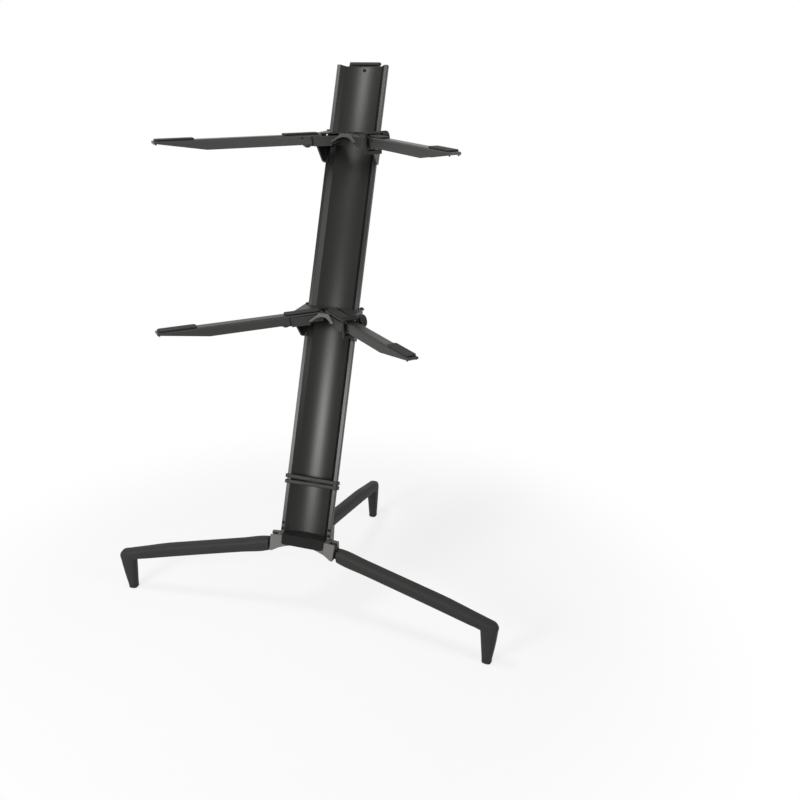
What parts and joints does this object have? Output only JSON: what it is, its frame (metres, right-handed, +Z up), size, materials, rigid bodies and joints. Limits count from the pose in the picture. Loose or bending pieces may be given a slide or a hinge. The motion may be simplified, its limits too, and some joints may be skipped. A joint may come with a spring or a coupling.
{
  "type": "keyboard stand",
  "caption": "Leaning aluminium column stand on folding tripod legs, with sliding carriers that hold swinging, extending keyboard support arms with rubber pads.",
  "frame": {"origin": "on the floor, under the point where the three leg axes meet", "axes": "+Z up, front of the stand towards -Y, +X to the right as seen along +Y; the column leans back towards +Y"},
  "size_m": [1.1178, 0.6704, 1.4388],
  "materials": {
    "column": "satin black anodised",
    "casting": "satin grey powder coat",
    "plate": "matte black",
    "leg": "satin black",
    "carrier": "satin black powder coat",
    "arm": "satin dark anodised",
    "pad": "matte dark grey",
    "band": "matte black",
    "rubber": "matte black",
    "black": "fine matte black",
    "steel": "black oxide"
  },
  "bodies": {
    "stand": {"column": "column", "column_screw_left_1": "black", "column_screw_left_2": "black", "column_screw_right_1": "black", "column_screw_right_2": "black", "top_tab": "column", "top_bumper": "rubber", "top_screw": "black", "rubber_band_1": "band", "rubber_band_2": "band", "hub_casting": "casting", "front_plate": "plate", "left_leg_pin": "steel", "right_leg_pin": "steel", "rear_leg_pin": "steel"},
    "left_leg": {"left_leg": "leg", "left_leg_tip": "rubber"},
    "right_leg": {"right_leg": "leg", "right_leg_tip": "rubber"},
    "rear_leg": {"rear_leg": "leg", "rear_leg_tip": "rubber"},
    "lower_carrier": {"lower_carrier": "carrier", "lower_hook_left": "black", "lower_shoe_left": "black", "lower_hook_right": "black", "lower_shoe_right": "black", "lower_left_swing_pin": "steel", "lower_right_swing_pin": "steel"},
    "lower_left_swing": {"lower_left_swing_block": "black"},
    "lower_left_arm": {"lower_left_arm": "arm", "lower_left_tip_pad": "pad", "lower_left_root_pad": "pad", "lower_left_pad_screw": "black"},
    "lower_right_swing": {"lower_right_swing_block": "black", "lower_right_loop": "black", "lower_right_knob": "black"},
    "lower_right_arm": {"lower_right_arm": "arm", "lower_right_tip_pad": "pad", "lower_right_root_pad": "pad", "lower_right_pad_screw": "black"},
    "upper_carrier": {"upper_carrier": "carrier", "upper_hook_left": "black", "upper_shoe_left": "black", "upper_hook_right": "black", "upper_shoe_right": "black", "upper_left_swing_pin": "steel", "upper_right_swing_pin": "steel"},
    "upper_left_swing": {"upper_left_swing_block": "black"},
    "upper_left_arm": {"upper_left_arm": "arm", "upper_left_tip_pad": "pad", "upper_left_root_pad": "pad", "upper_left_pad_screw": "black"},
    "upper_right_swing": {"upper_right_swing_block": "black", "upper_right_loop": "black", "upper_right_knob": "black"},
    "upper_right_arm": {"upper_right_arm": "arm", "upper_right_tip_pad": "pad", "upper_right_root_pad": "pad", "upper_right_pad_screw": "black"}
  },
  "joints": [
    {"name": "left_leg_fold", "type": "hinge", "parent": "stand", "child": "left_leg", "pos_m": [-0.08729, -0.01118, 0.2255], "axis": [-0.1271, 0.9919, 0], "range_deg": [0, 85]},
    {"name": "right_leg_fold", "type": "hinge", "parent": "stand", "child": "right_leg", "pos_m": [0.08729, -0.01118, 0.2255], "axis": [-0.1271, -0.9919, 0], "range_deg": [0, 85]},
    {"name": "rear_leg_fold", "type": "hinge", "parent": "stand", "child": "rear_leg", "pos_m": [0, 0.088, 0.2255], "axis": [1, 0, 0], "range_deg": [0, 75]},
    {"name": "lower_carrier_slide", "type": "slide", "parent": "stand", "child": "lower_carrier", "axis": [0, 0.3907, 0.9205], "range_m": [-0.08, 0.17]},
    {"name": "upper_carrier_slide", "type": "slide", "parent": "stand", "child": "upper_carrier", "axis": [0, 0.3907, 0.9205], "range_m": [-0.17, 0.15]},
    {"name": "lower_left_arm_swing", "type": "hinge", "parent": "lower_carrier", "child": "lower_left_swing", "pos_m": [-0.093, 0.13872, 0.82], "axis": [0, 0, -1], "range_deg": [-2, 3]},
    {"name": "lower_left_arm_slide", "type": "slide", "parent": "lower_left_swing", "child": "lower_left_arm", "axis": [-0.7193, -0.6947, 0], "range_m": [0, 0.0745]},
    {"name": "lower_right_arm_swing", "type": "hinge", "parent": "lower_carrier", "child": "lower_right_swing", "pos_m": [0.093, 0.13872, 0.82], "axis": [0, 0, 1], "range_deg": [-4, 1]},
    {"name": "lower_right_arm_slide", "type": "slide", "parent": "lower_right_swing", "child": "lower_right_arm", "axis": [0.7431, -0.6691, 0], "range_m": [0, 0.094]},
    {"name": "upper_left_arm_swing", "type": "hinge", "parent": "upper_carrier", "child": "upper_left_swing", "pos_m": [-0.093, 0.32719, 1.264], "axis": [0, 0, -1], "range_deg": [-1, 4]},
    {"name": "upper_left_arm_slide", "type": "slide", "parent": "upper_left_swing", "child": "upper_left_arm", "axis": [-0.7071, -0.7071, 0], "range_m": [-0.066, 0.008]},
    {"name": "upper_right_arm_swing", "type": "hinge", "parent": "upper_carrier", "child": "upper_right_swing", "pos_m": [0.093, 0.32719, 1.264], "axis": [0, 0, 1], "range_deg": [-2, 3]},
    {"name": "upper_right_arm_slide", "type": "slide", "parent": "upper_right_swing", "child": "upper_right_arm", "axis": [0.7193, -0.6947, 0], "range_m": [-0.072, 0.002]}
  ]
}
